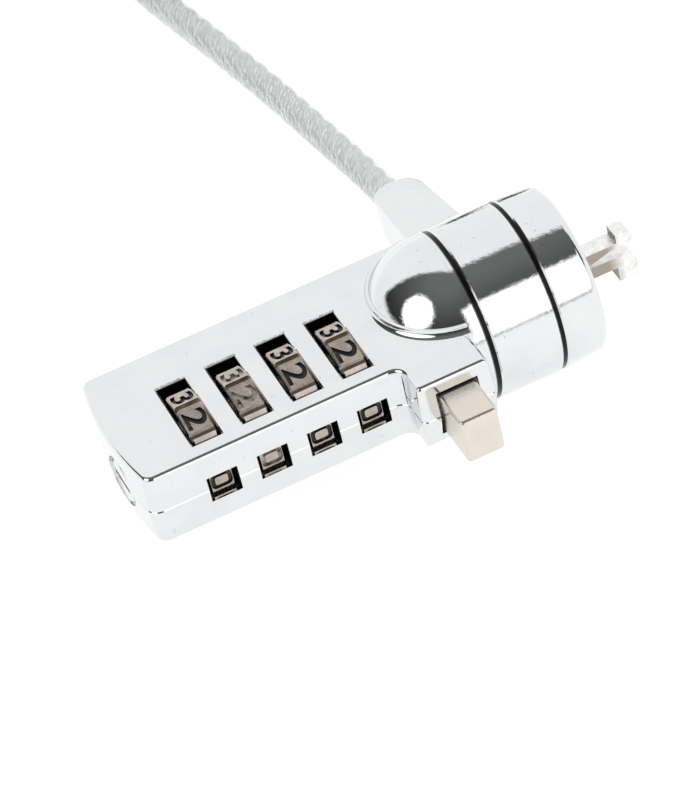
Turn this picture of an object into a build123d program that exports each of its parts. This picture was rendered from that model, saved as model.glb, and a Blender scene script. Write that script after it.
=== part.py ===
from build123d import *
import math
import os

# Laptop cable lock, millimetres. The origin is the centre of the cap's front face, on the head's axis.
# +X runs out of the cap along the hooks, +Y towards the cable and +Z up.

# Head: stations along X, from the cap back to the dome
cap_length = 6.3
washer_front = 0.5
ring_width = 9.3
washer_rear = 0.6
flange_length = 0.7
head_radius = 12.35
cap_front_radius = 12.0
cap_wall = 1.3
head_rim_bevel = 0.2
dome_radius = 12.3
core_radius = 8.0
washer_radius = 12.15
running_gap = 0.08
seat_gap = 0.02
axial_gap = 0.05

ring_front_x = -cap_length - washer_front
ring_rear_x = ring_front_x - ring_width
flange_front_x = ring_rear_x - washer_rear
flange_rear_x = flange_front_x - flange_length

# Case: two drafted halves that meet at a ridge all round, a little above the head's axis
case_z = 0.65
case_half_height = 5.8
case_ridge_y = 11.75
case_draft = 2.8
case_tail_x = -65.9
case_tail_bulge = 1.3
case_front_x = -18.6
case_corner = 1.75
case_edge = 0.75
seam_bevel = 0.13
housing_rear_x = -29.4
housing_y = -17.1
housing_corner = 1.5
housing_under_y = -15.4
collar_flare = 0.9
collar_rise = 0.9

# Dials: four ten-sided wheels on one axis
dial_count = 4
dial_pitch = 7.23
dial_first_x = -34.05
dial_axis_y = -3.2
dial_radius = 7.75
dial_width = 3.6
dial_sides = 10
dial_groove = 0.8
dial_groove_floor = 6.8
dial_bevel = 0.25
pocket_radius = 8.05
window_width = 4.0
window_y = (-8.8, 3.85)
rim_bevel = 0.3
side_window_width = 4.4
side_window_z = (-2.1, 2.0)
sleeve_radius = 4.6
sleeve_length = 6.5
sleeve_bore = 2.6
sleeve_recess = 3.7
sleeve_flange = 1.3
gate_width = 2.0
spindle_radius = 2.3
fin_radius = 3.4
fin_length = 0.8
fin_width = 1.6
passage_radius = 4.9
dial_xs = [dial_first_x - i * dial_pitch for i in range(dial_count)]

# Button and its ramp
button_x = -23.8
button_width = 5.4
button_height = 7.2
button_front_y = -23.7
button_rear_y = -14.0
collar_width = 7.4
collar_height = 9.0
stem_width = 2.2
stem_height = 2.4
stem_bend_y = -4.8
stem_end_y = 2.2
ramp_slope = 2 / 3

# Actuator and hooks, with the hooks open
upper_pin = (-3.0, 0.46)
lower_pin = (-2.8, -2.13)
hook_pin_radius = 0.6
hook_pin_length = 7.0
hook_eye = 1.25
hook_thickness = 2.7
hook_tail = 5.4
hook_tip = 9.45
upper_leg_z = (-0.76, 1.4)
upper_leg_relief = [(-1.8, -0.76), (3.3, -0.2)]
upper_head_z = (0.85, 2.7)
lower_leg_z = (-2.78, -0.93)
lower_head_z = -5.15
upper_head_x = 6.95
lower_head_x = 6.5
prong_tip_x = -7.0
prong_slope = 0.22
prong_thickness = 0.9
channel_half_y = 1.5
channel_z = (-5.0, 3.3)

# Tail screw, fasteners and springs
spring_y = 3.5
spring_bore = 1.7
spring_radius = 1.3
spring_wire = 0.2
spring_rear_x = -30.1
spring_length = 4.9
ear_x = (-30.6, -24.4)
ear_y = (5.9, 10.3)
code_screw_radius = 3.15
screw_places = [(-62.8, 8.3), (-62.8, -8.9), (-29.3, 8.6), (-30.4, -9.2)]
screw_radius = 1.0
screw_head_radius = 1.9
screw_shank = 8.0
cap_screw_y = 10.0

# Cable ring's tongue, swung down towards the cable
tongue_x = -11.2
tongue_angle = -12.0
tongue_end = 35.6
tongue_taper_start = 20.0
tongue_end_radius = 3.75
tongue_half_height = 3.4
anchor_length = 16.0

# Cable: the free end lies on the surface under the head
cable_radius = 2.25
floor_z = -head_radius
lying_z = floor_z + cable_radius + 0.05
coil_ring = 24.75
coil_bundle = 8.85
coil_centre = (4.4, 124.0)
ferrule_length = 14.0
ferrule_size = (11.0, 6.0)
ferrule_lift = ferrule_size[1] / 2 - cable_radius
tie_thickness = 0.5
tie_slack = 0.2
tie_angle = 300.0
coil_z = floor_z + coil_bundle + tie_slack + tie_thickness + 0.05


def cylinder_x(radius, x0, x1, y=0.0, z=0.0):
    """A cylinder along X from x0 to x1."""
    body = Rotation(0, 90, 0) * Cylinder(radius, abs(x1 - x0))
    return Pos((x0 + x1) / 2, y, z) * body


def cylinder_y(radius, y0, y1, x, z):
    """A cylinder along Y from y0 to y1."""
    body = Rotation(90, 0, 0) * Cylinder(radius, abs(y1 - y0))
    return Pos(x, (y0 + y1) / 2, z) * body


def block(x, y, z):
    """A box from its low and high coordinates along each axis."""
    size = [high - low for low, high in (x, y, z)]
    return Pos((x[0] + x[1]) / 2, (y[0] + y[1]) / 2, (z[0] + z[1]) / 2) * Box(*size)


def turned(points):
    """A solid of revolution about X from (x, radius) points."""
    return revolve(make_face(Polyline(*points, close=True)), Axis.X)


# ---- Case shells ----

def case_outline():
    """The case's plan at its ridge, with the bowed tail and the button housing."""
    side = case_ridge_y
    bow = case_tail_x - case_tail_bulge
    edges = [
        Line((case_front_x, side), (case_tail_x, side)),
        ThreePointArc((case_tail_x, side), (bow, 0), (case_tail_x, -side)),
        Line((case_tail_x, -side), (housing_rear_x, -side)),
        Line((housing_rear_x, -side), (housing_rear_x, housing_y)),
        Line((housing_rear_x, housing_y), (case_front_x, housing_y)),
        Line((case_front_x, housing_y), (case_front_x, side)),
    ]
    plan = make_face(edges)
    tail = [v for v in plan.vertices() if abs(v.X - case_tail_x) < 0.01]
    plan = fillet(tail, case_corner)
    inner = [v for v in plan.vertices() if math.dist((v.X, v.Y), (housing_rear_x, -side)) < 0.01]
    plan = fillet(inner, housing_corner)
    outer = [v for v in plan.vertices() if abs(v.Y - housing_y) < 0.01]
    return fillet(outer, 0.8)


def window_rims(x):
    """The broken edge round a dial's top and bottom windows."""
    middle = (window_y[0] + window_y[1]) / 2
    length = window_y[1] - window_y[0]
    rims = []
    for sign in (1, -1):
        opening = Rectangle(window_width + 2 * rim_bevel, length + 2 * rim_bevel)
        rim = extrude(opening, rim_bevel, taper=45)
        if sign > 0:
            rim = Rotation(180, 0, 0) * rim
        rims.append(Pos(x, middle, sign * case_half_height) * rim)
    return rims


def dome_collar():
    """The flare where the dome rises out of the case's top."""
    level = case_half_height
    inner = math.sqrt(dome_radius**2 - (level + case_z)**2) - 0.6
    outer = inner + 0.6 + collar_flare
    foot = Line((inner, level - 1), (outer, level - 1))
    rim = Line((outer, level - 1), (outer, level))
    waist = (outer - 0.66 * collar_flare, level + 0.25 * collar_rise)
    flare = ThreePointArc((outer, level), waist, (inner + 0.45, level + collar_rise))
    top = Line((inner + 0.45, level + collar_rise), (inner, level + collar_rise))
    inside = Line((inner, level + collar_rise), (inner, level - 1))
    ring = revolve(Plane.XZ * make_face([foot, rim, flare, top, inside]), Axis.Z)
    return (Pos(flange_rear_x, 0, 0) * ring) & block((-40, case_front_x), (-20, 20), (0, 10))


def case_hollow():
    """Everything the two shells have to clear, as one tool."""
    dome = Pos(flange_rear_x, 0, -case_z) * Sphere(dome_radius + seat_gap)
    tools = [dome]
    tail_x = dial_xs[-1] - dial_pitch / 2 - 0.3
    tools.append(cylinder_x(passage_radius, tail_x, dial_xs[0] + 3.6, dial_axis_y))
    tools.append(cylinder_x(sleeve_bore, -63.2, -26.0, dial_axis_y))
    tools.append(cylinder_x(code_screw_radius + 0.06, -70.0, -62.6, dial_axis_y))
    tools.append(cylinder_x(code_screw_radius + 0.5, -70.0, -66.55, dial_axis_y))
    for x in dial_xs:
        half = window_width / 2
        tools.append(cylinder_x(pocket_radius, x - half, x + half, dial_axis_y))
        tools.append(block((x - half, x + half), window_y, (-8, 8)))
        tools += window_rims(x)
        half = side_window_width / 2
        tools.append(block((x - half, x + half), (-14, -9.0), side_window_z))
    tools.append(block((-59.8, -30.3), (4.7, 9.6), (-3.0, 3.0)))
    tools.append(block((-30.4, -26.0), (-2.1, 5.3), (-3.0, 3.0)))
    tools.append(block((ear_x[0] - 0.1, -24.0), (ear_y[0] - 0.1, ear_y[1] + 0.1), (-2.4, 2.4)))
    half = button_width / 2 + 0.35
    tools.append(block((button_x - half, button_x + half), (-17.5, -9), (-3.95, 3.95)))
    half = collar_width / 2 + 0.15
    height = collar_height / 2 + 0.12
    collar = block((button_x - half, button_x + half), (button_rear_y - 0.06, -8.5), (-height, height))
    tools.append(collar)
    return Compound(children=tools)


def housing_underside():
    """The wedge that the lower shell lacks under the button, drawn with that shell's ridge down."""
    low = -0.5
    slope = [(housing_y, -low), (housing_under_y, case_half_height)]
    profile = [(housing_y - 1, -low)] + slope + [(housing_under_y, 8), (housing_y - 1, 8)]
    face = make_face(Polyline(*profile, close=True))
    return extrude(Plane.YZ * face, 40, both=True)


def raised(piece):
    """A piece of the case, moved from its own mid-plane to its place over the head's axis."""
    return Pos(0, 0, case_z) * piece


def case_shells():
    """The upper and lower shells, with screw holes through the lower one."""
    plan = case_outline()
    halves = []
    hollow = case_hollow().children
    for sign in (1, -1):
        half = extrude(plan, case_half_height, taper=case_draft)
        if sign < 0:
            half = half - housing_underside()
        rim = half.faces().sort_by(Axis.Z)[-1].edges()
        half = fillet(rim, case_edge)
        seam = half.faces().sort_by(Axis.Z)[0].edges()
        half = chamfer(seam, seam_bevel)
        if sign < 0:
            half = mirror(half, Plane.XY)
        else:
            half = half + dome_collar()
        half = half - list(hollow)
        halves.append(half)
    upper, lower = halves
    for x, y in screw_places:
        lower = lower - Pos(x, y, -3) * Cylinder(screw_radius + 0.1, 8)
        sink = Pos(x, y, -case_half_height) * Cylinder(screw_head_radius + 0.1, 3.0)
        lower = lower - sink
        upper = upper - Pos(x, y, 1.8) * Cylinder(screw_radius + seat_gap, 4.0)
    return raised(upper), raised(lower)


def shell_screws():
    """Four pan-head screws, sunk in the lower shell."""
    screws = []
    for x, y in screw_places:
        head = Pos(x, y, -4.9) * Cylinder(screw_head_radius, 1.1)
        shank = Pos(x, y, -0.5) * Cylinder(screw_radius, screw_shank)
        slot = Pos(x, y, -5.45) * Rotation(0, 0, 30) * Box(2.6, 0.5, 1.0)
        cross = Pos(x, y, -5.45) * Rotation(0, 0, 120) * Box(2.6, 0.5, 1.0)
        screws.append(raised((head + shank) - slot - cross))
    return screws


# ---- Head ----

def head_housing():
    """The dome, its flange, the core and the ear that the shells hold."""
    dome = Pos(flange_rear_x, 0, 0) * Sphere(dome_radius)
    dome = dome & block((-40, flange_rear_x), (-20, 20), (-20, 20))
    flange = cylinder_x(head_radius, flange_rear_x, flange_front_x)
    flange = chamfer(flange.edges().filter_by(GeomType.CIRCLE).sort_by(Axis.X)[-1:], head_rim_bevel)
    core = cylinder_x(core_radius, flange_front_x, -cap_wall - seat_gap)
    ear = raised(block(ear_x, ear_y, (-2.3, 2.3)))
    body = dome + flange + core + ear
    body = body - Pos(screw_places[2][0], screw_places[2][1], 0) * Cylinder(screw_radius + 0.1, 8)
    body = body - block((-32, 1), (-channel_half_y - 0.2, channel_half_y + 0.2), (-2.8, 2.8))
    body = body - block((-19.7, 1), (-channel_half_y, channel_half_y), channel_z)
    body = body - raised(block((-25.2, -17.8), (-14, 6.5), (-1.45, 1.45)))
    half = collar_width / 2 + 0.15
    height = collar_height / 2 + 0.12
    body = body - raised(block((button_x - half, button_x + half), (-15, -9.75), (-height, height)))
    body = body - raised(block((-30, -22.6), (0, spring_y + spring_bore), (-spring_bore, spring_bore)))
    body = body - raised(cylinder_x(sleeve_bore, -32, -25.0, dial_axis_y))
    for pin in (upper_pin, lower_pin):
        body = body - hook_pin(pin, hook_pin_radius + seat_gap, hook_pin_length + 0.2)
    for y in cap_screw_places():
        body = body - cylinder_x(0.8 + seat_gap, -7.2, 0, y, 0)
    return body


def cap_screw_places():
    """The Y of the two cap screws, each side of the hooks."""
    return (-cap_screw_y / 2, cap_screw_y / 2)


def washer(x0, x1):
    """A black bearing washer on the core."""
    ring = cylinder_x(washer_radius, x0, x1)
    return ring - cylinder_x(core_radius + seat_gap, x0 - 1, x1 + 1)


def front_cap():
    """The nose: a cup over the core's end, with the slot for the hooks."""
    edge = 1.2
    outline = [(-cap_length, 0), (-cap_length, head_radius), (0, cap_front_radius), (0, 0)]
    cup = turned(outline)
    front = [e for e in cup.edges().filter_by(GeomType.CIRCLE) if abs(e.center().X) < 0.01]
    cup = fillet(front, edge)
    rear = [e for e in cup.edges().filter_by(GeomType.CIRCLE) if abs(e.center().X + cap_length) < 0.01]
    cup = chamfer(rear, head_rim_bevel)
    cup = cup - cylinder_x(core_radius + seat_gap, -cap_length - 1, -cap_wall)
    cup = cup - block((-3, 1), (-channel_half_y, channel_half_y), (-3.3, 1.9))
    for y in cap_screw_places():
        cup = cup - cylinder_x(0.9, -2, 1, y, 0)
        cup = cup - cylinder_x(1.6, -0.75, 1, y, 0)
    return cup


def cap_screws():
    """Two short screws, sunk in the cap's face."""
    screws = []
    for y in cap_screw_places():
        head = cylinder_x(1.5, -0.73, -0.1, y, 0)
        shank = cylinder_x(0.8, -7.0, -0.5, y, 0)
        slot = block((-0.45, 0.1), (y - 1.0, y + 1.0), (-0.2, 0.2))
        screws.append((head + shank) - slot)
    return screws


# ---- Dials ----

def dial_wheel(x):
    """A ten-sided wheel with a groove at each corner, so that each face is a raised pad."""
    flat = Plane.YZ * RegularPolygon(dial_radius, dial_sides, rotation=90)
    wheel = extrude(flat, dial_width / 2, both=True)
    wheel = chamfer(wheel.edges().filter_by(Axis.X, reverse=True), dial_bevel)
    for i in range(dial_sides):
        angle = 360 / dial_sides * i + 360 / dial_sides / 2
        depth = (dial_groove_floor, dial_radius + 1)
        bar = block((-dial_width, dial_width), depth, (-dial_groove / 2, dial_groove / 2))
        wheel = wheel - Rotation(angle, 0, 0) * bar
    wheel = wheel - cylinder_x(sleeve_radius + seat_gap, -dial_width, dial_width)
    return raised(Pos(x, dial_axis_y, 0) * wheel)


def code_sleeve(x):
    """The sleeve in a wheel: a recess for its fin, and a flange with the gate."""
    half = sleeve_length / 2
    sleeve = cylinder_x(sleeve_radius, -half, half)
    sleeve = sleeve - cylinder_x(sleeve_bore, -half - 1, half + 1)
    sleeve = sleeve - cylinder_x(sleeve_recess, -half - 1, half - sleeve_flange)
    gate = block((half - 2, half + 1), (-gate_width / 2, gate_width / 2), (0, sleeve_recess))
    return raised(Pos(x, dial_axis_y, 0) * (sleeve - gate))


def spindle():
    """The rod through the sleeves, with one fin behind each gate."""
    rod = cylinder_x(spindle_radius, -60.6, -25.62)
    for x in dial_xs:
        centre = x + 0.9
        reach = (centre - fin_length / 2, centre + fin_length / 2)
        fin = block(reach, (-fin_width / 2, fin_width / 2), (0, fin_radius))
        rod = rod + fin
    rod = chamfer(rod.edges().group_by(Axis.X)[0], 0.4)
    return raised(Pos(0, dial_axis_y, 0) * rod)


def detent_spring():
    """A leaf with a bowed finger over each wheel."""
    strip = block((-59.2, -30.9), (8.6, 9.1), (-2.2, 2.2))
    parts = strip
    for x in dial_xs:
        reach = dial_axis_y + dial_radius + 0.3
        low = [(0, 8.7), (-1.2, reach + 0.9), (0, reach), (1.2, reach + 0.9)]
        bow = Plane.YZ * make_face(Polyline(*[(y, z) for z, y in low], close=True))
        finger = Pos(x, 0, 0) * extrude(bow, 1.2, both=True)
        parts = parts + finger
    return raised(parts)


def code_set_screw():
    """The slotted disc in the tail."""
    disc = cylinder_x(code_screw_radius, -66.9, -62.7, dial_axis_y)
    slot = block((-67.5, -66.2), (dial_axis_y - 2.6, dial_axis_y + 2.6), (-0.45, 0.45))
    disc = chamfer(disc.edges().group_by(Axis.X)[0], 0.25)
    return raised(disc - slot)


# ---- Button, actuator and hooks ----

def button():
    """The push button, with its collar and the slanted stem."""
    half = button_width / 2
    tall = button_height / 2
    head = block((button_x - half, button_x + half), (button_front_y, button_rear_y), (-tall, tall))
    front = head.faces().sort_by(Axis.Y)[0]
    head = fillet(front.edges(), 0.7)
    head = fillet(head.edges().filter_by(Axis.Y), 0.5)
    wide = collar_width / 2
    high = collar_height / 2
    collar = block((button_x - wide, button_x + wide), (button_rear_y, button_rear_y + 1), (-high, high))
    shift = (stem_end_y - stem_bend_y) * ramp_slope
    x0 = button_x - stem_width / 2
    x1 = button_x + stem_width / 2
    top = button_rear_y + 1
    outline = [(x0, top), (x1, top), (x1, stem_bend_y)]
    outline += [(x1 + shift, stem_end_y), (x0 + shift, stem_end_y), (x0, stem_bend_y)]
    stem = extrude(make_face(Polyline(*outline, close=True)), stem_height / 2, both=True)
    return raised(head + collar + stem)


def ramp_window_x(y):
    """Where the stem's middle crosses the actuator at a given Y, at rest."""
    return button_x + (y - stem_bend_y) * ramp_slope


def prong(side):
    """The actuator's prong over a hook's tail. Its flared inner face lets the tail swing out as it leaves."""
    pin_x, pin_z = upper_pin if side > 0 else lower_pin
    end_x = pin_x - hook_tail
    contact = pin_z + side * 1.45
    root_x = -17.4
    tip = contact + side * prong_slope * (prong_tip_x - end_x)
    back = contact - side * prong_slope * 1.0
    outer = contact + side * prong_thickness
    outline = [(root_x, back), (end_x - 1.0, back), (prong_tip_x, tip), (prong_tip_x, outer), (root_x, outer)]
    return extrude(Plane.XZ * make_face(Polyline(*outline, close=True)), 1.2, both=True)


def actuator():
    """The slide: a frame with the slanted window, and a prong over each hook's tail."""
    half_y = 1.6
    frame = block((-25.6, -16.4), (-half_y, half_y), (-2.6, 2.6))
    gap = stem_width / 2 + 0.25
    low = -half_y - 1
    high = half_y + 1
    x_low = ramp_window_x(low)
    x_high = ramp_window_x(high)
    outline = [(x_low - gap, low), (x_low + gap, low), (x_high + gap, high), (x_high - gap, high)]
    window = extrude(make_face(Polyline(*outline, close=True)), stem_height / 2 + 0.15, both=True)
    lug = block((-25.0, -24.2), (1.0, spring_y + 1.3), (-1.3, 1.3))
    plate = block((-17.4, -16.4), (-1.2, 1.2), (-4.4, 2.7))
    return frame - raised(window) + raised(lug) + plate + prong(1) + prong(-1)


def hook_pin(place, radius, length):
    """A hook's pivot pin."""
    x, z = place
    return cylinder_y(radius, -length / 2, length / 2, x, z)


def upper_hook_outline():
    """The upper hook in the XZ plane: a leg cut away towards its barbed head."""
    low, high = upper_leg_z
    bottom, top = upper_head_z
    corners = [(upper_pin[0], low)] + upper_leg_relief
    corners += [(upper_head_x, bottom), (hook_tip, bottom), (hook_tip, top)]
    corners += [(upper_head_x, top), (upper_head_x, high), (upper_pin[0], high)]
    face = make_face(Polyline(*corners, close=True))
    nose = [v for v in face.vertices() if v.X > hook_tip - 0.01 and v.Y > top - 0.01]
    face = fillet(nose, 1.2)
    under = [v for v in face.vertices() if v.X > hook_tip - 0.01 and v.Y < bottom + 0.01]
    return fillet(under, 0.6)


def lower_hook_outline():
    """The lower hook in the XZ plane: a straight leg and a rounded, barbed head."""
    low, high = lower_leg_z
    corners = [(lower_pin[0], high), (hook_tip, high), (hook_tip, lower_head_z), (lower_head_x, lower_head_z)]
    corners += [(lower_head_x, low), (lower_pin[0], low)]
    face = make_face(Polyline(*corners, close=True))
    nose = [v for v in face.vertices() if v.X > hook_tip - 0.01 and v.Y > high - 0.01]
    face = fillet(nose, 1.9)
    under = [v for v in face.vertices() if v.X > hook_tip - 0.01 and v.Y < lower_head_z + 0.01]
    return fillet(under, 0.8)


def hook(side):
    """A jaw on its pin: barbed head, leg, eye and tail. side is 1 for the upper one."""
    pin = upper_pin if side > 0 else lower_pin
    head = upper_hook_outline() if side > 0 else lower_hook_outline()
    tail = [(0.4, -0.6), (0.4, 1.2), (-hook_tail, 1.4), (-hook_tail, 0.45)]
    rear = make_face(Polyline(*tail, close=True)) + Circle(hook_eye)
    if side < 0:
        rear = mirror(rear, Plane.XZ)
    profile = head + Pos(*pin) * rear - Pos(*pin) * Circle(hook_pin_radius + 0.05)
    return extrude(Plane.XZ * profile, hook_thickness / 2, both=True)


def return_spring():
    """The coil spring behind the actuator."""
    path = Helix(pitch=1.0, height=spring_length - 2 * spring_wire, radius=spring_radius)
    wire = Plane(origin=path @ 0, z_dir=path % 0) * Circle(spring_wire)
    coil = sweep(wire, path=path, is_frenet=True)
    return raised(Pos(spring_rear_x + spring_wire, spring_y, 0) * Rotation(0, 90, 0) * coil)


# ---- Cable ring, tongue and cable ----

def cable_ring():
    """The swivel ring and its flat-topped tongue."""
    x0 = ring_rear_x + axial_gap
    x1 = ring_front_x - axial_gap
    half = x1 - tongue_x
    ring = cylinder_x(head_radius, x0, x1)
    ring = chamfer(ring.edges().filter_by(GeomType.CIRCLE), head_rim_bevel)
    rounding = tongue_end - tongue_end_radius
    near = [(half, 5), (half - 0.1, tongue_taper_start), (tongue_end_radius, rounding)]
    far = [(-x, y) for x, y in reversed(near)]
    end = ThreePointArc(near[-1], (0, tongue_end), far[0])
    plan = make_face([Polyline(*near), end, Polyline(*far), Line(far[-1], near[0])])
    tongue = extrude(plan, tongue_half_height, both=True)
    flat = tongue.faces().filter_by(Axis.Z)
    tongue = fillet(flat.edges().filter_by(lambda e: e.center().Y > 6), 0.5)
    tongue = Pos(tongue_x, 0, 0) * tongue
    depth = tongue_end - anchor_length
    tongue = tongue - cylinder_y(cable_radius + seat_gap, depth, tongue_end + 1, tongue_x, 0)
    body = ring + Rotation(tongue_angle, 0, 0) * tongue
    return body - cylinder_x(core_radius + running_gap, x0 - 1, x1 + 1)


def tongue_point(distance):
    """A point on the tongue's middle line, at a distance from the head's axis."""
    angle = math.radians(tongue_angle)
    return (tongue_x, distance * math.cos(angle), distance * math.sin(angle))


def cable_anchor():
    """The swaged stub in the tongue."""
    stub = cylinder_y(cable_radius, tongue_end - anchor_length + 0.1, tongue_end, tongue_x, 0)
    return Rotation(tongue_angle, 0, 0) * stub


def lead_points():
    """The cable's free stretch, from the tongue to the coil."""
    exit_x, exit_y, exit_z = tongue_point(tongue_end)
    _, second_y, second_z = tongue_point(tongue_end + 8)
    return [
        (exit_x, exit_y, exit_z),
        (exit_x, second_y, second_z),
        (-12.7, 56.5, lying_z),
        (-15.1, 73.0, lying_z),
        (-18.5, 91.0, lying_z),
        (-22.0, 107.5, lying_z + 0.3),
        (-22.6, 124.0, lying_z + 1.1),
    ]


def tail_points():
    """The stretch from the coil to the ferrule of the far loop."""
    return [
        (4.4, 154.4, lying_z + 4.0),
        (17.0, 154.6, lying_z + 2.6),
        (28.6, 151.2, lying_z + 1.1),
        (37.8, 143.6, lying_z + 0.2),
        (43.2, 133.0, lying_z + 0.3),
        (44.6, 121.5, lying_z + ferrule_lift),
    ]


def ferrule_place():
    """The place of the ferrule's near face, with X along the cable there."""
    end = tail_points()[-1]
    before = tail_points()[-2]
    heading = math.degrees(math.atan2(end[1] - before[1], end[0] - before[0]))
    return Pos(*end) * Rotation(0, 0, heading)


def eye_points():
    """The far loop, from the ferrule round and back, with X along the cable; it comes down to the ground."""
    side = [(0, 2.4, 0), (12, 5.4, 0.15), (24, 11.0, 0.5), (36, 13.8, 0.85), (44.8, 9.4, 1)]
    tip = [(48.4, 0, 1)]
    other = [(x, -y, drop) for x, y, drop in reversed(side)]
    return [(ferrule_length + x, y, -drop * ferrule_lift) for x, y, drop in side + tip + other]


def corner_radii(points):
    """The largest tangent arc at each corner: 0.45 of the shorter run over the half turn's tangent."""
    radii = []
    for before, here, after in zip(points, points[1:], points[2:]):
        one = Vector(*here) - Vector(*before)
        two = Vector(*after) - Vector(*here)
        turn = math.radians(one.get_angle(two))
        radii.append(0.45 * min(one.length, two.length) / math.tan(turn / 2))
    return radii


def tube(name, points):
    """A round tube along straight runs joined by tangent arcs."""
    radii = corner_radii(points)
    path = FilletPolyline(*points, radius=radii)
    section = Plane(origin=path @ 0, z_dir=path % 0) * Circle(cable_radius)
    solid = sweep(section, path=path)
    share = solid.volume / (math.pi * cable_radius**2 * path.length)
    print(name, "radii", [round(r, 1) for r in radii])
    print(name, "length", round(path.length, 1), "volume share", round(share, 4))
    return solid


def cable_coil():
    """The wound cable, as the outer shape of its turns."""
    ring = Torus(coil_ring, coil_bundle)
    return Pos(coil_centre[0], coil_centre[1], coil_z) * ring


def coil_tie():
    """The tie round the bundle."""
    inner = coil_bundle + tie_slack
    band = Cylinder(inner + tie_thickness, 6.0) - Cylinder(inner, 8.0)
    band = Pos(coil_ring, 0, 0) * Rotation(90, 0, 0) * band
    band = Rotation(0, 0, tie_angle) * band
    return Pos(coil_centre[0], coil_centre[1], coil_z) * band


def eye_ferrule():
    """The swaged sleeve that closes the loop at the cable's far end."""
    sleeve = extrude(Plane.YZ * SlotOverall(*ferrule_size), ferrule_length)
    return ferrule_place() * fillet(sleeve.edges(), 0.5)


def main():
    """Writes one STEP file for each piece."""
    os.makedirs("parts", exist_ok=True)
    upper, lower = case_shells()
    pins = (upper_pin, lower_pin)
    pieces = {
        "upper_shell": upper,
        "lower_shell": lower,
        "shell_screws": Compound(children=shell_screws()),
        "head_housing": head_housing(),
        "rear_washer": washer(flange_front_x, ring_rear_x),
        "front_washer": washer(ring_front_x, -cap_length),
        "front_cap": front_cap(),
        "cap_screws": Compound(children=cap_screws()),
        "detent_spring": detent_spring(),
        "spindle": spindle(),
        "code_set_screw": code_set_screw(),
        "button": button(),
        "actuator": actuator(),
        "hook_upper": hook(1),
        "hook_lower": hook(-1),
        "hook_pins": Compound(children=[hook_pin(pin, hook_pin_radius, hook_pin_length) for pin in pins]),
        "return_spring": return_spring(),
        "cable_ring": cable_ring(),
        "cable_anchor": cable_anchor(),
        "cable_lead": tube("cable_lead", lead_points()),
        "cable_tail": tube("cable_tail", tail_points()),
        "cable_coil": cable_coil(),
        "coil_tie": coil_tie(),
        "eye_ferrule": eye_ferrule(),
        "cable_eye": ferrule_place() * tube("cable_eye", eye_points()),
    }
    for i, x in enumerate(dial_xs):
        number = dial_count - i
        pieces[f"dial_wheel_{number}"] = dial_wheel(x)
        pieces[f"code_sleeve_{number}"] = code_sleeve(x)
    for name, piece in pieces.items():
        export_step(piece, f"parts/{name}.step")


main()
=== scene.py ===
"""A laptop cable lock: a chrome case with four code wheels, a swivel head with hooks and a sheathed cable."""

import math

import bmesh
import bpy
from mathutils import Matrix, Vector


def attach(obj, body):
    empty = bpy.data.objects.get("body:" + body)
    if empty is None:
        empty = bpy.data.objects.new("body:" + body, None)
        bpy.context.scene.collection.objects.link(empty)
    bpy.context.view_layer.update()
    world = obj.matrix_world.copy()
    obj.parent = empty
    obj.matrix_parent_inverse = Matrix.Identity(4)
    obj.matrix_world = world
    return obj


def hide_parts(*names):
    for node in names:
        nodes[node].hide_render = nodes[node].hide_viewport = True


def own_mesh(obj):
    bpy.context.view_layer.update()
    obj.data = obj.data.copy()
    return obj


MM = 0.001

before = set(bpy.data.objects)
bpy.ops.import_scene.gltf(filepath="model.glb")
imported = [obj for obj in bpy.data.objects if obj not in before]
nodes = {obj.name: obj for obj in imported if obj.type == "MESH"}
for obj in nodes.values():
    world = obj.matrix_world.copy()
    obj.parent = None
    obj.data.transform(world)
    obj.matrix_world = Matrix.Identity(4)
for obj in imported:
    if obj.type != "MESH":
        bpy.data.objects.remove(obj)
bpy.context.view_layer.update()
scene = bpy.context.scene


def link(obj):
    """The object, now in the scene."""
    scene.collection.objects.link(obj)
    return obj


# ---------------------------------------------------------------- camera

CAMERA_RIGHT = Vector((0.8957, -0.4042, -0.1857))
CAMERA_UP = Vector((0.4045, 0.5666, 0.7179))
CAMERA_DISTANCE = 0.6
CAMERA_LENS = 202.5
RING_MIDDLE = Vector((-0.0112, 0, 0))

right = CAMERA_RIGHT.normalized()
up = (CAMERA_UP - right * CAMERA_UP.dot(right)).normalized()
back = right.cross(up)
target = RING_MIDDLE + right * -0.019067 + up * -0.013333

camera = link(bpy.data.objects.new("camera", bpy.data.cameras.new("camera")))
turn = Matrix((right, up, back)).transposed()
camera.matrix_world = Matrix.Translation(target + back * CAMERA_DISTANCE) @ turn.to_4x4()
camera.data.lens = CAMERA_LENS
camera.data.sensor_width = 36.0
camera.data.clip_start = 0.01
scene.camera = camera


# ---------------------------------------------------------------- cable

CABLE_RADIUS = 2.25
FLOOR_Z = -12.35
LYING_Z = FLOOR_Z + CABLE_RADIUS + 0.05
FERRULE_LIFT = 0.75
TONGUE_X = -11.2
TONGUE_ANGLE = math.radians(-12)
TONGUE_END = 35.6
FERRULE = (44.6, 121.5, LYING_Z + FERRULE_LIFT)
COIL_CENTRE = (4.4, 124.0)
COIL_RING = 24.75
COIL_Z = -2.75
TURNS = 10.25
POINTS_PER_TURN = 14
CURVE_SHARE = 0.975  # how far out the curve runs, of its control points' radius
STRAND_COUNT = 6
STRAND_RADIUS = 0.70 * MM
STRAND_CIRCLE = 1.42 * MM
SHEATH_DIP = 0.14 * MM
LAY = 22.8 * MM
# Each turn's place in the coil's bundle: the angle round the bundle's middle and the distance from it.
TURN_PLACES = [
    (-70, 6.58), (-110, 6.58), (-150, 6.58), (210, 2.25), (170, 6.58), (130, 6.58),
    (90, 6.58), (50, 6.58), (30, 2.25), (10, 6.58), (-30, 6.58),
]


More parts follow.
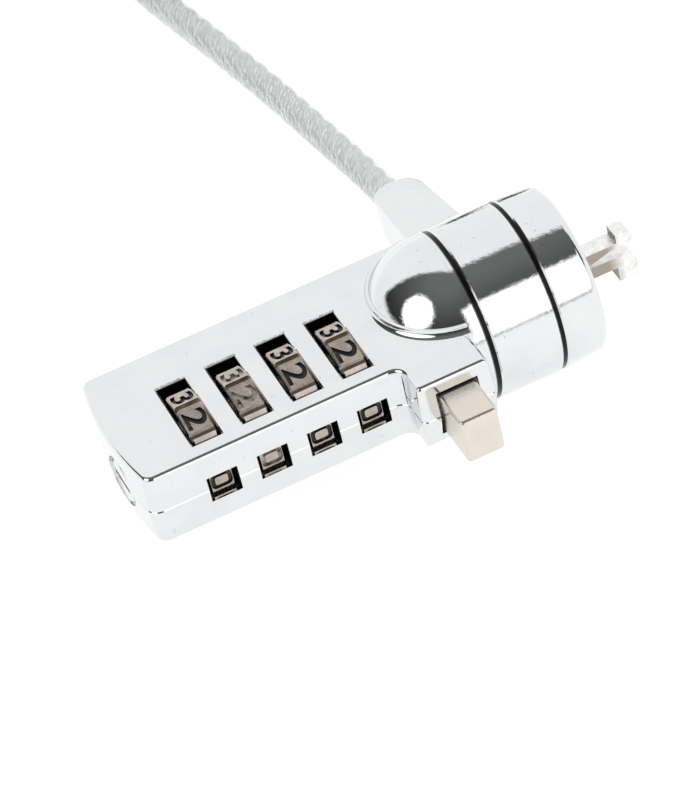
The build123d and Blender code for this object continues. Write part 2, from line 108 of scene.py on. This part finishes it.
def tongue_point(distance):
    """A point on the tongue's middle line, at a distance from the head's axis."""
    return (TONGUE_X, distance * math.cos(TONGUE_ANGLE), distance * math.sin(TONGUE_ANGLE))


def turn_place(i):
    """Radius from the coil's centre and height of one turn in the bundle."""
    angle, offset = TURN_PLACES[i]
    angle = math.radians(angle)
    return Vector((COIL_RING + offset * math.cos(angle), COIL_Z + offset * math.sin(angle)))


def coil_point(t):
    """The route's control point after t turns; each turn steps to the next place in the bundle."""
    i = int(t)
    place = turn_place(i)
    if i + 1 < len(TURN_PLACES):
        s = min(1.0, max(0.0, (t - i - 0.3) / 0.3))
        place = place.lerp(turn_place(i + 1), s * s * (3 - 2 * s))
    angle = math.pi - 2 * math.pi * t
    radius = place[0] / CURVE_SHARE
    x = COIL_CENTRE[0] + radius * math.cos(angle)
    y = COIL_CENTRE[1] + radius * math.sin(angle)
    return (x, y, place[1])


def cable_points():
    """The route from the tongue, round the coil and on to the ferrule."""
    lead = [
        tongue_point(TONGUE_END),
        tongue_point(TONGUE_END + 8),
        (-12.7, 56.5, LYING_Z),
        (-15.1, 73.0, LYING_Z),
        (-18.5, 91.0, LYING_Z),
        (-22.0, 107.5, LYING_Z + 0.3),
    ]
    steps = int(TURNS * POINTS_PER_TURN)
    coil = [coil_point(k / POINTS_PER_TURN) for k in range(steps + 1)]
    tail = [
        (4.4, 154.4, LYING_Z + 4.0),
        (17.0, 154.6, LYING_Z + 2.6),
        (28.6, 151.2, LYING_Z + 1.1),
        (37.8, 143.6, LYING_Z + 0.2),
        (43.2, 133.0, LYING_Z + 0.3),
        FERRULE,
    ]
    return lead + coil + tail


def eye_points():
    """The loop past the ferrule, out on one side and back on the other."""
    start = Vector(FERRULE)
    ahead = Vector((1.4, -11.5, 0)).normalized()
    side = Vector((-ahead.y, ahead.x, 0))
    half = [(14, 2.4, 0), (26, 5.4, 0.15), (38, 11, 0.5), (50, 13.8, 0.85), (58.8, 9.4, 1)]
    outline = half + [(62.4, 0, 1)] + [(x, -y, drop) for x, y, drop in reversed(half)]
    down = Vector((0, 0, -FERRULE_LIFT))
    return [tuple(start + ahead * x + side * y + down * drop) for x, y, drop in outline]


def route(name, points):
    """An open NURBS curve through the control points, in metres."""
    data = bpy.data.curves.new(name, "CURVE")
    data.dimensions = "3D"
    spline = data.splines.new("NURBS")
    spline.points.add(len(points) - 1)
    for point, place in zip(spline.points, points):
        point.co = (place[0] * MM, place[1] * MM, place[2] * MM, 1.0)
    spline.order_u = 3
    spline.use_endpoint_u = True
    spline.resolution_u = 8
    data.resolution_u = 8
    return link(bpy.data.objects.new(name, data))


def centreline(curve):
    """The points that Blender works out along a curve."""
    mesh = bpy.data.meshes.new_from_object(curve)
    line = [v.co.copy() for v in mesh.vertices]
    bpy.data.meshes.remove(mesh)
    return line


def even_points(line, gap):
    """Points at equal distances along a line."""
    reach = [0.0]
    for a, b in zip(line, line[1:]):
        reach.append(reach[-1] + (b - a).length)
    count = max(2, round(reach[-1] / gap))
    points = []
    k = 0
    for i in range(count + 1):
        s = reach[-1] * i / count
        while k < len(line) - 2 and reach[k + 1] < s:
            k += 1
        share = (s - reach[k]) / (reach[k + 1] - reach[k])
        points.append(line[k].lerp(line[k + 1], share))
    return points, reach[-1]


def carried_frames(points):
    """A direction across the line at each point, carried along without twist."""
    across = Vector((0, 0, 1))
    frames = []
    for i, point in enumerate(points):
        ahead = (points[min(i + 1, len(points) - 1)] - points[max(i - 1, 0)]).normalized()
        across = (across - ahead * across.dot(ahead)).normalized()
        frames.append((point, across, ahead.cross(across)))
    return frames


def swept(name, frames, rings_of, step):
    """A mesh of closed tubes; rings_of gives each tube's ring at a frame, as points.

    In the UV map, u runs along the tube in mm and v once round it.
    """
    mesh = bmesh.new()
    layer = mesh.loops.layers.uv.new("along")
    for ring_at in rings_of:
        rings = [[mesh.verts.new(p) for p in ring_at(i)] for i in range(len(frames))]
        sides = len(rings[0])
        for i, (one, two) in enumerate(zip(rings, rings[1:])):
            for k in range(sides):
                n = (k + 1) % sides
                face = mesh.faces.new((one[k], one[n], two[n], two[k]))
                face.smooth = True
                marks = [(i, k), (i, k + 1), (i + 1, k + 1), (i + 1, k)]
                for loop, (u, v) in zip(face.loops, marks):
                    loop[layer].uv = (u * step / MM, v / sides)
        mesh.faces.new(list(reversed(rings[0])))
        mesh.faces.new(rings[-1])
    data = bpy.data.meshes.new(name)
    mesh.to_mesh(data)
    mesh.free()
    return link(bpy.data.objects.new(name, data))


def ring(frame_at, radius_at, count, first):
    """Points round a frame, starting at an angle."""
    point, a, b = frame_at
    angles = [2 * math.pi * k / count for k in range(count)]
    return [point + (a * math.cos(first + t) + b * math.sin(first + t)) * radius_at(t) for t in angles]


def sheathed_cable(name, curve):
    """The strands and the sheath drawn tight over them, both along the curve's line."""
    points, length = even_points(centreline(curve), LAY / 16)
    frames = carried_frames(points)
    step = length / (len(points) - 1)
    twist = 2 * math.pi * step / LAY

    def strand(number):
        start = 2 * math.pi * number / STRAND_COUNT
        middles = []
        for i, (point, a, b) in enumerate(frames):
            angle = start + i * twist
            middles.append(point + (a * math.cos(angle) + b * math.sin(angle)) * STRAND_CIRCLE)
        inner = carried_frames(middles)
        return lambda i: ring(inner[i], lambda t: STRAND_RADIUS, 8, 0)

    def lobed(t):
        return CABLE_RADIUS * MM + SHEATH_DIP * (math.cos(STRAND_COUNT * t) - 0.3) / 2

    laid = swept(name + "_strands", frames, [strand(n) for n in range(STRAND_COUNT)], step)
    round_sheath = 6 * STRAND_COUNT
    sheath_rings = [lambda i: ring(frames[i], lobed, round_sheath, i * twist)]
    sheath = swept(name + "_sheath", frames, sheath_rings, step)
    bpy.data.objects.remove(curve)
    return sheath, laid, points, length


cable, cable_strands, cable_line, cable_length = sheathed_cable("cable", route("cable_route", cable_points()))
eye, eye_strands, eye_line, eye_length = sheathed_cable("eye", route("eye_route", eye_points()))
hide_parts("cable_lead", "cable_coil", "cable_tail")
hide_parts("cable_eye")

for piece in (cable, cable_strands, eye, eye_strands):
    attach(piece, "swivel")


# ---------------------------------------------------------------- code wheels

WHEEL_X = -34.05
WHEEL_PITCH = 7.23
DIALS_MIDDLE = WHEEL_X - 1.5 * WHEEL_PITCH
WHEEL_Y = -3.2
WHEEL_Z = 0.65
PAD_HEIGHT = 7.371
GLYPH_DEPTH = 0.32
GLYPH_SHIFT = 0.12
DIGIT_SIZE = (2.85, 3.05)
ONE_WIDTH = 0.65


def ring_glyph(width, height, stroke, corner):
    """A zero as a ring with rounded corners, as points of its outer and inner outline."""

    def outline(w, h, r):
        points = []
        for cx, cy, first in ((1, 1, 0), (-1, 1, 90), (-1, -1, 180), (1, -1, 270)):
            for k in range(7):
                a = math.radians(first + 15 * k)
                points.append((cx * (w / 2 - r) + r * math.cos(a), cy * (h / 2 - r) + r * math.sin(a)))
        return points

    outer = outline(width, height, corner)
    inner = outline(width - 2 * stroke, height - 2 * stroke, max(0.1, corner - stroke * 0.7))
    mesh = bmesh.new()
    loops = []
    for points in (outer, inner):
        for z in (-1, 1):
            loops.append([mesh.verts.new((x, y, z * GLYPH_DEPTH)) for x, y in points])
    outer_low, outer_high, inner_low, inner_high = loops
    count = len(outer)
    for k in range(count):
        n = (k + 1) % count
        mesh.faces.new((outer_low[k], outer_low[n], outer_high[n], outer_high[k]))
        mesh.faces.new((inner_low[n], inner_low[k], inner_high[k], inner_high[n]))
        mesh.faces.new((outer_high[k], outer_high[n], inner_high[n], inner_high[k]))
        mesh.faces.new((outer_low[n], outer_low[k], inner_low[k], inner_low[n]))
    return mesh


def font_glyph(text, width, height):
    """A digit in the built-in font, as a solid of the given size."""
    data = bpy.data.curves.new("glyph", "FONT")
    data.body = text
    data.extrude = GLYPH_DEPTH
    data.offset = 0.022
    data.resolution_u = 6
    obj = link(bpy.data.objects.new("glyph", data))
    solid = bpy.data.meshes.new_from_object(obj)
    bpy.data.objects.remove(obj)
    mesh = bmesh.new()
    mesh.from_mesh(solid)
    bpy.data.meshes.remove(solid)
    bmesh.ops.remove_doubles(mesh, verts=mesh.verts, dist=1e-5)
    xs = [v.co.x for v in mesh.verts]
    ys = [v.co.y for v in mesh.verts]
    for v in mesh.verts:
        v.co.x = (v.co.x - (min(xs) + max(xs)) / 2) * width / (max(xs) - min(xs))
        v.co.y = (v.co.y - (min(ys) + max(ys)) / 2) * height / (max(ys) - min(ys))
    return mesh


def glyph_cutter():
    """The ten digits round the wheel, their tops towards the head."""
    cutter = bmesh.new()
    for digit in range(10):
        if digit == 0:
            glyph = ring_glyph(width=2.5, height=3.0, stroke=0.6, corner=0.7)
        else:
            width, height = DIGIT_SIZE
            glyph = font_glyph(str(digit), ONE_WIDTH if digit == 1 else width, height)
        angle = math.radians(180 - 36 * digit)
        outward = Vector((0, math.cos(angle), math.sin(angle)))
        rightward = Vector((0, -math.sin(angle), math.cos(angle)))
        upward = Vector((1, 0, 0))
        centre = Vector((WHEEL_X, WHEEL_Y, WHEEL_Z)) + outward * PAD_HEIGHT
        for v in glyph.verts:
            v.co = centre + rightward * (v.co.x + GLYPH_SHIFT) + upward * v.co.y + outward * v.co.z
        part = bpy.data.meshes.new("glyph")
        glyph.to_mesh(part)
        glyph.free()
        cutter.from_mesh(part)
        bpy.data.meshes.remove(part)
    bmesh.ops.recalc_face_normals(cutter, faces=cutter.faces)
    data = bpy.data.meshes.new("cutter")
    cutter.to_mesh(data)
    cutter.free()
    return link(bpy.data.objects.new("cutter", data))


def engraved_wheel(metal, paint):
    """The wheel nearest the head with its digits cut in; cut faces take the paint."""
    mesh = bmesh.new()
    mesh.from_mesh(nodes["dial_wheel_4"].data)
    mesh.transform(Matrix.Scale(1 / MM, 4))
    bmesh.ops.remove_doubles(mesh, verts=mesh.verts, dist=1e-3)
    for face in mesh.faces:
        face.smooth = False
        face.material_index = 0
    data = bpy.data.meshes.new("wheel")
    mesh.to_mesh(data)
    mesh.free()
    data.materials.append(metal)
    data.materials.append(paint)
    wheel = link(bpy.data.objects.new("wheel", data))
    cutter = glyph_cutter()
    cutter.data.materials.append(metal)
    cutter.data.materials.append(paint)
    cutter.data.polygons.foreach_set("material_index", [1] * len(cutter.data.polygons))
    cut = wheel.modifiers.new("cut", "BOOLEAN")
    cut.operation = "DIFFERENCE"
    cut.solver = "EXACT"
    cut.use_self = True
    cut.object = cutter
    result = bpy.data.meshes.new_from_object(wheel.evaluated_get(bpy.context.evaluated_depsgraph_get()))
    result.transform(Matrix.Scale(MM, 4))
    bpy.data.objects.remove(wheel)
    bpy.data.objects.remove(cutter)
    return result


# ---------------------------------------------------------------- materials


def material(name):
    """A new material, its node tree and its Principled shader."""
    made = bpy.data.materials.new(name)
    made.use_nodes = True
    return made, made.node_tree, made.node_tree.nodes["Principled BSDF"]


def add(tree, kind, inputs=None, **settings):
    """A shader node; inputs are values or other nodes' sockets, settings are its own properties."""
    node = tree.nodes.new(kind)
    for key, value in settings.items():
        setattr(node, key, value)
    for key, value in (inputs or {}).items():
        if isinstance(value, bpy.types.NodeSocket):
            tree.links.new(value, node.inputs[key])
        else:
            node.inputs[key].default_value = value
    return node


def maths(tree, operation, one, two=0.0):
    """The result of a Math node."""
    return add(tree, "ShaderNodeMath", {0: one, 1: two}, operation=operation).outputs[0]


def ramp(tree, value, low, high, start=0.0, end=1.0):
    """low to high, as the value goes from start to end."""
    inputs = {"Value": value, "From Min": start, "From Max": end, "To Min": low, "To Max": high}
    return add(tree, "ShaderNodeMapRange", inputs).outputs["Result"]


def tint(tree, value, one, two):
    """A colour between two, by a value from 0 to 1."""
    node = add(tree, "ShaderNodeMix", {"Factor": value}, data_type="RGBA")
    node.inputs[6].default_value = (*one, 1)
    node.inputs[7].default_value = (*two, 1)
    return node.outputs[2]


def noise(tree, coords, size, detail=3.0, rough=0.5):
    """Noise whose cells are about the given size in metres."""
    inputs = {"Vector": coords, "Scale": 1 / size, "Detail": detail, "Roughness": rough}
    return add(tree, "ShaderNodeTexNoise", inputs).outputs["Fac"]


def covered(tree, under, cover, colour):
    """A colour socket with another colour laid over it, as far as cover says."""
    mix = add(tree, "ShaderNodeMix", {"Factor": cover}, data_type="RGBA")
    tree.links.new(under, mix.inputs[6])
    mix.inputs[7].default_value = (*colour, 1)
    return mix.outputs[2]


def bumped(tree, shader, height, strength, distance):
    """Roughen the shader's normal with a height socket."""
    bumps = add(tree, "ShaderNodeBump", {"Height": height, "Strength": strength, "Distance": distance})
    tree.links.new(bumps.outputs["Normal"], shader.inputs["Normal"])


def metal(name, colour, dull, roughness, mottle=4e-3, grain=0.5e-3, bump=0.02, specks=0.0):
    """Bare or plated metal: mottled tint and roughness, a fine grain, and sparse specks."""
    made, tree, shader = material(name)
    coords = add(tree, "ShaderNodeTexCoord").outputs["Object"]
    cloud = noise(tree, coords, mottle, 4.0)
    dust = noise(tree, coords, grain, 4.0, 0.65)
    colour_value = tint(tree, ramp(tree, cloud, 0.0, 1.0, 0.35, 0.65), colour, dull)
    if specks:
        spots = add(tree, "ShaderNodeTexVoronoi", {"Vector": coords, "Scale": 900.0, "Randomness": 1.0})
        pick = noise(tree, coords, 3e-3, 5.0, 0.7)
        near = ramp(tree, spots.outputs["Distance"], 1.0, 0.0, 0.10, 0.22)
        rare = ramp(tree, pick, 0.0, specks, 0.55, 0.62)
        mask = maths(tree, "MULTIPLY", near, rare)
        colour_value = covered(tree, colour_value, mask, [c * 0.45 for c in dull])
    tree.links.new(colour_value, shader.inputs["Base Color"])
    tree.links.new(ramp(tree, dust, roughness[0], roughness[1], 0.3, 0.7), shader.inputs["Roughness"])
    shader.inputs["Metallic"].default_value = 1.0
    bumped(tree, shader, dust, bump, 2e-4)
    return made


def plastic(name, one, two, roughness, grain=0.6e-3, bump=0.05, gloss=0.5):
    """Moulded plastic between two tints, with a fine grain."""
    made, tree, shader = material(name)
    coords = add(tree, "ShaderNodeTexCoord").outputs["Object"]
    cloud = noise(tree, coords, 2e-3, 4.0)
    dust = noise(tree, coords, grain, 3.0)
    tree.links.new(tint(tree, cloud, one, two), shader.inputs["Base Color"])
    tree.links.new(ramp(tree, dust, roughness[0], roughness[1]), shader.inputs["Roughness"])
    shader.inputs["Specular IOR Level"].default_value = gloss
    bumped(tree, shader, dust, bump, 1e-4)
    return made


def paint(name, cover):
    """Black paint left in the engraving; cover says how much of it is still there."""
    made, tree, shader = material(name)
    coords = add(tree, "ShaderNodeTexCoord").outputs["Object"]
    left = ramp(tree, noise(tree, coords, 0.7e-3, 4.0, 0.6), 1.0, 0.0, cover - 0.1, cover + 0.1)
    tree.links.new(tint(tree, left, (0.42, 0.38, 0.34), (0.012, 0.010, 0.010)), shader.inputs["Base Color"])
    tree.links.new(ramp(tree, left, 0.3, 0.45), shader.inputs["Roughness"])
    tree.links.new(ramp(tree, left, 0.9, 0.0), shader.inputs["Metallic"])
    return made


def strand_steel():
    """Bright wires laid in each strand, the wires running across the strand's own turn; the colour follows
    their height, painted shade in the grooves between them and painted highlights on their crowns.
    """
    made, tree, shader = material("strand_steel")
    place = add(tree, "ShaderNodeUVMap", uv_map="along").outputs["UV"]
    parts = add(tree, "ShaderNodeSeparateXYZ", {"Vector": place})
    turned = maths(tree, "MULTIPLY", parts.outputs["X"], 0.16)
    phase = maths(tree, "SUBTRACT", parts.outputs["Y"], turned)
    ridge = maths(tree, "SINE", maths(tree, "MULTIPLY", phase, 2 * math.pi * 6))
    height = ramp(tree, ridge, 0.0, 1.0, -1.0, 1.0)
    along_wire = maths(tree, "MULTIPLY", parts.outputs["X"], 0.9)
    across_wire = maths(tree, "MULTIPLY", phase, 12.0)
    wires = add(tree, "ShaderNodeCombineXYZ", {"X": along_wire, "Y": across_wire}).outputs["Vector"]
    dashes = ramp(tree, noise(tree, wires, 1.0, 2.0), 0.0, 1.0, 0.38, 0.56)
    # Dark in the grooves between wires and near white in dashes on their crowns: painted shade and painted
    # highlights.
    wire_shade_and_glint = maths(tree, "MULTIPLY", height, dashes)
    coords = add(tree, "ShaderNodeTexCoord").outputs["Object"]
    cloud = noise(tree, coords, 1.5e-3, 4.0)
    tree.links.new(tint(tree, wire_shade_and_glint, (0.42, 0.46, 0.46), (0.99, 0.99, 0.98)), shader.inputs["Base Color"])
    tree.links.new(ramp(tree, cloud, 0.25, 0.45), shader.inputs["Roughness"])
    shader.inputs["Metallic"].default_value = 0.35
    bumped(tree, shader, height, 0.6, 1e-4)
    return made


def clear_sheath():
    """Clear, slightly milky PVC over the strands."""
    made, tree, shader = material("clear_sheath")
    coords = add(tree, "ShaderNodeTexCoord").outputs["Object"]
    cloud = noise(tree, coords, 3e-3, 4.0)
    dust = noise(tree, coords, 0.8e-3, 4.0)
    tree.links.new(tint(tree, cloud, (0.90, 0.925, 0.92), (0.97, 0.98, 0.975)), shader.inputs["Base Color"])
    tree.links.new(ramp(tree, dust, 0.16, 0.3), shader.inputs["Roughness"])
    tree.links.new(ramp(tree, cloud, 0.25, 0.42), shader.inputs["Alpha"])
    bumped(tree, shader, dust, 0.1, 2e-4)
    return made


def woven(name, one, two):
    """Hook-and-loop tape: a fine pile over a weave."""
    made, tree, shader = material(name)
    coords = add(tree, "ShaderNodeTexCoord").outputs["Object"]
    pile = add(tree, "ShaderNodeTexVoronoi", {"Vector": coords, "Scale": 2200.0}).outputs["Distance"]
    cloud = noise(tree, coords, 2e-3, 4.0)
    tree.links.new(tint(tree, cloud, one, two), shader.inputs["Base Color"])
    shader.inputs["Roughness"].default_value = 0.85
    shader.inputs["Sheen Weight"].default_value = 0.4
    bumped(tree, shader, pile, 0.6, 2e-4)
    return made


CHROME = (0.775, 0.79, 0.795)
CHROME_DULL = (0.74, 0.755, 0.765)
CHROME_ROUGHNESS = (0.045, 0.085)


def shell_chrome():
    """The case's plating outside, and painted shade: near black inside the wheels' pockets."""
    made = metal("shell_chrome", CHROME, CHROME_DULL, CHROME_ROUGHNESS, 5e-3, 0.5e-3, bump=0.03, specks=0.3)
    tree = made.node_tree
    shader = tree.nodes["Principled BSDF"]
    coords = add(tree, "ShaderNodeTexCoord").outputs["Object"]
    centre = (0, WHEEL_Y * MM, WHEEL_Z * MM)
    off = add(tree, "ShaderNodeVectorMath", {0: coords, 1: centre}, operation="SUBTRACT").outputs["Vector"]
    cross = add(tree, "ShaderNodeVectorMath", {0: off, 1: (0, 1, 1)}, operation="MULTIPLY").outputs["Vector"]
    reach = add(tree, "ShaderNodeVectorMath", {0: cross}, operation="LENGTH").outputs["Value"]
    parts = add(tree, "ShaderNodeSeparateXYZ", {"Vector": off}).outputs
    rise = maths(tree, "ABSOLUTE", parts["Z"])
    across = maths(tree, "ABSOLUTE", parts["Y"])
    beyond = maths(tree, "ABSOLUTE", maths(tree, "SUBTRACT", parts["X"], DIALS_MIDDLE * MM))
    within = ramp(tree, reach, 1.0, 0.0, 8.09e-3, 8.19e-3)
    window = ramp(tree, across, 1.0, 0.0, 7.25e-3, 7.35e-3)
    either = maths(tree, "MAXIMUM", within, window)
    below = ramp(tree, rise, 1.0, 0.0, 5.55e-3, 5.68e-3)
    length = ramp(tree, beyond, 1.0, 0.0, 13.2e-3, 13.5e-3)
    # Inside the wheels' pockets the colour is painted near black and the roughness raised: painted shade in
    # the recess.
    mask = maths(tree, "MULTIPLY", maths(tree, "MULTIPLY", either, below), length)
    plated = shader.inputs["Base Color"].links[0].from_socket
    tree.links.new(covered(tree, plated, mask, (0.010, 0.009, 0.009)), shader.inputs["Base Color"])
    smooth = shader.inputs["Roughness"].links[0].from_socket
    rough = add(tree, "ShaderNodeMix", {"Factor": mask, "A": smooth, "B": 0.6}, data_type="FLOAT")
    tree.links.new(rough.outputs["Result"], shader.inputs["Roughness"])
    return made


def hook_finish():
    """Worn plating on the jaws with a cast speckle: bright heads and tops, painted shade on the grey-brown
    leg sides and a painted shadow on the dark backs of the barbs.
    """
    made = metal("hook_steel", (0.93, 0.93, 0.92), (0.80, 0.79, 0.77), (0.2, 0.34), 0.9e-3, 0.3e-3, 0.35)
    tree = made.node_tree
    shader = tree.nodes["Principled BSDF"]
    place = add(tree, "ShaderNodeTexCoord").outputs
    at = add(tree, "ShaderNodeSeparateXYZ", {"Vector": place["Object"]}).outputs
    facing = add(tree, "ShaderNodeSeparateXYZ", {"Vector": place["Normal"]}).outputs
    grit = noise(tree, place["Object"], 0.5e-3, 4.0, 0.6)
    # Leg faces turned to +Y or -Y are greyed brown: painted shade.
    sides = ramp(tree, maths(tree, "ABSOLUTE", facing["Y"]), 0.0, 1.0, 0.4, 0.7)
    leg = ramp(tree, at["X"], 1.0, 0.0, 5.4e-3, 7.6e-3)
    # Faces turned towards -X, the backs of the barbs, are painted near black: painted shadow.
    barb_shadow = ramp(tree, facing["X"], 1.0, 0.0, -0.8, -0.5)
    cells = add(tree, "ShaderNodeTexVoronoi", {"Vector": place["Object"], "Scale": 1700.0})
    layers = [
        (ramp(tree, cells.outputs["Distance"], 0.55, 0.0, 0.12, 0.3), (0.50, 0.50, 0.46)),
        (maths(tree, "MULTIPLY", sides, leg), (0.36, 0.32, 0.27)),
        (maths(tree, "MULTIPLY", barb_shadow, ramp(tree, grit, 1.0, 0.8)), (0.055, 0.038, 0.030)),
    ]
    value = shader.inputs["Base Color"].links[0].from_socket
    for cover, colour in layers:
        value = covered(tree, value, cover, colour)
    tree.links.new(value, shader.inputs["Base Color"])
    return made


chrome_shell = shell_chrome()
chrome = metal("chrome", CHROME, CHROME_DULL, CHROME_ROUGHNESS, 5e-3, 0.7e-3, bump=0.08, specks=0.4)
nickel = metal("dial_nickel", (0.53, 0.465, 0.415), (0.39, 0.345, 0.305), (0.14, 0.26), 1.5e-3, 0.25e-3, 0.05)
satin = metal("satin_nickel", (0.76, 0.70, 0.625), (0.73, 0.67, 0.595), (0.26, 0.32), 3e-3, 0.3e-3, 0.02)
hook_steel = hook_finish()
plain_steel = metal("plain_steel", (0.62, 0.62, 0.62), (0.52, 0.52, 0.52), (0.25, 0.4), 2e-3, 0.2e-3, 0.08)
spring_steel = metal("spring_steel", (0.55, 0.56, 0.58), (0.45, 0.46, 0.48), (0.2, 0.32), 1e-3, 0.2e-3, 0.05)
screw_steel = metal("screw_steel", (0.50, 0.50, 0.51), (0.36, 0.36, 0.37), (0.25, 0.42), 1e-3, 0.15e-3, 0.10)
tail_metal = metal("tail_metal", (0.86, 0.86, 0.86), (0.74, 0.745, 0.75), (0.18, 0.34), 1.2e-3, 0.2e-3, 0.10)
aluminium = metal("aluminium", (0.80, 0.80, 0.81), (0.70, 0.70, 0.71), (0.3, 0.45), 2e-3, 0.3e-3, 0.12)
WASHER = (0.002, 0.002, 0.0025)
WASHER_WORN = (0.006, 0.006, 0.0065)
washer_black = plastic("washer_black", WASHER, WASHER_WORN, (0.12, 0.25), gloss=0.15)
tie_black = woven("tie_black", (0.012, 0.012, 0.013), (0.035, 0.035, 0.037))
sheath_clear = clear_sheath()
strand_metal = strand_steel()
paint_black = paint("digit_paint", 0.72)
paint_worn = paint("digit_paint_worn", 0.44)

finishes = {
    "upper_shell": chrome_shell,
    "lower_shell": chrome_shell,
    "head_housing": chrome,
    "front_cap": chrome,
    "cable_ring": chrome,
    "shell_screws": screw_steel,
    "cap_screws": screw_steel,
    "code_set_screw": tail_metal,
    "rear_washer": washer_black,
    "front_washer": washer_black,
    "detent_spring": spring_steel,
    "return_spring": spring_steel,
    "spindle": plain_steel,
    "actuator": plain_steel,
    "button": satin,
    "hook_upper": hook_steel,
    "hook_lower": hook_steel,
    "hook_pins": plain_steel,
    "cable_anchor": strand_metal,
    "eye_ferrule": aluminium,
    "coil_tie": tie_black,
}
for n in range(1, 5):
    finishes[f"code_sleeve_{n}"] = plain_steel

for node, finish in finishes.items():
    nodes[node].data.materials.clear()
    nodes[node].data.materials.append(finish)

for piece in (cable, eye):
    piece.data.materials.append(sheath_clear)
for piece in (cable, cable_strands, eye, eye_strands):
    piece.visible_glossy = False
for piece in (cable_strands, eye_strands):
    piece.data.materials.append(strand_metal)

wheel_mesh = engraved_wheel(nickel, paint_black)
for n in range(1, 5):
    mesh = wheel_mesh.copy()
    mesh.transform(Matrix.Translation((-(4 - n) * WHEEL_PITCH * MM, 0, 0)))
    if n == 2:
        mesh.materials[1] = paint_worn
    wheel = link(bpy.data.objects.new(f"engraved_wheel_{n}", mesh))
    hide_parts(f"dial_wheel_{n}")
    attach(wheel, f"dial_{n}")
bpy.data.meshes.remove(wheel_mesh)

# The return spring, which the slide presses from 4.9 mm to 2.9 mm, is copied with a mesh of its own and rides
# with the case.
spring = link(bpy.data.objects.new("pressed_spring", nodes["return_spring"].data.copy()))
spring.matrix_world = nodes["return_spring"].matrix_world
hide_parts("return_spring")
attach(spring, "case")
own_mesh(spring)


# ---------------------------------------------------------------- floor and light

FLOOR_HALF_SIDE = 4.0
FLOOR_GLOW = 0.82

floor_mesh = bmesh.new()
bmesh.ops.create_grid(floor_mesh, x_segments=1, y_segments=1, size=FLOOR_HALF_SIDE)
floor_data = bpy.data.meshes.new("floor")
floor_mesh.to_mesh(floor_data)
floor_mesh.free()
floor = link(bpy.data.objects.new("floor", floor_data))
floor.location = (0, 0, FLOOR_Z * MM)
white, white_tree, white_shader = material("floor_white")
white_coords = add(white_tree, "ShaderNodeTexCoord").outputs["Object"]
white_cloud = noise(white_tree, white_coords, 0.2, 2.0)
white_colour = tint(white_tree, white_cloud, (0.34, 0.34, 0.34), (0.36, 0.36, 0.36))
white_tree.links.new(white_colour, white_shader.inputs["Base Color"])
white_shader.inputs["Emission Color"].default_value = (1, 1, 1, 1)
white_shader.inputs["Emission Strength"].default_value = FLOOR_GLOW
white_shader.inputs["Roughness"].default_value = 0.9
white_shader.inputs["Specular IOR Level"].default_value = 0.0
floor.data.materials.append(white)

sun = link(bpy.data.objects.new("soft_sun", bpy.data.lights.new("soft_sun", "SUN")))
sun.data.energy = 0.8
sun.data.angle = math.radians(120)
sun.rotation_euler = (math.radians(35), math.radians(-8), 0)
sun.visible_glossy = False

world = bpy.data.worlds.new("studio")
scene.world = world
world.use_nodes = True
sky = world.node_tree
sky.nodes.clear()
toward = add(sky, "ShaderNodeTexCoord").outputs["Generated"]


def compass(azimuth, elevation):
    """The direction at an azimuth and elevation in degrees."""
    a = math.radians(azimuth)
    e = math.radians(elevation)
    return Vector((math.cos(a) * math.cos(e), math.sin(a) * math.cos(e), math.sin(e)))


def aimed(vector):
    """The share of a direction in the ray's own."""
    return add(sky, "ShaderNodeVectorMath", {0: toward, 1: vector}, operation="DOT_PRODUCT").outputs["Value"]


def step_at(value, low, high):
    """0 below low and 1 above high, with a soft step between."""
    inputs = {"Value": value, "From Min": low, "From Max": high}
    return add(sky, "ShaderNodeMapRange", inputs, interpolation_type="SMOOTHSTEP").outputs["Result"]


def band(value, low, high, soft):
    """1 between low and high, in degrees, of an angle in radians."""
    low, high, soft = (math.radians(v) for v in (low, high, soft))
    above = step_at(value, low - soft, low + soft)
    below = step_at(value, high + soft, high - soft)
    return maths(sky, "MULTIPLY", above, below)


def over(under, inside, value):
    node = add(sky, "ShaderNodeMix", {"Factor": inside, "A": under, "B": value}, data_type="FLOAT")
    return node.outputs["Result"]


def dome(direction, reach, soft):
    """1 within reach of a direction, in degrees."""
    outer = math.cos(math.radians(reach + soft))
    inner = math.cos(math.radians(reach - soft))
    return step_at(aimed(direction), outer, inner)


WALL = 1.06
LAMP = 1.7
SOFT_BOX = 1.4
HORIZON = 0.05

height = maths(sky, "ARCSINE", aimed(Vector((0, 0, 1))))
# The dark room behind the camera, past the edge of the white wall.
past_wall = step_at(aimed(Vector((0.54, 0.842, 0))), 0.245, 0.215)
room = maths(sky, "MULTIPLY", past_wall, band(height, 17, 200, 2.5))
brightness = over(WALL, room, ramp(sky, height, 0.035, 0.17, 0.4, 1.3))
# The round lamp at the left of the camera.
brightness = over(brightness, dome(compass(-166, 42), 21, 1), LAMP)
# The dark gap along the front horizon, and the tall soft box that stands on it at the right.
round_about = maths(sky, "ARCTAN2", aimed(compass(26, 0)), aimed(compass(-64, 0)))
gap = maths(sky, "MULTIPLY", band(round_about, -50, 34, 3), band(height, -5, 1.5, 0.5))
brightness = over(brightness, gap, HORIZON)
box = maths(sky, "MULTIPLY", band(round_about, -22, 24, 1.5), band(height, 1.5, 47, 0.7))
brightness = over(brightness, box, SOFT_BOX)
grey = {"Red": brightness, "Green": brightness, "Blue": brightness}
colour = add(sky, "ShaderNodeCombineColor", grey).outputs["Color"]
background = add(sky, "ShaderNodeBackground", {"Color": colour, "Strength": 1.0})
add(sky, "ShaderNodeOutputWorld", {"Surface": background.outputs["Background"]})

scene.view_settings.view_transform = "Standard"
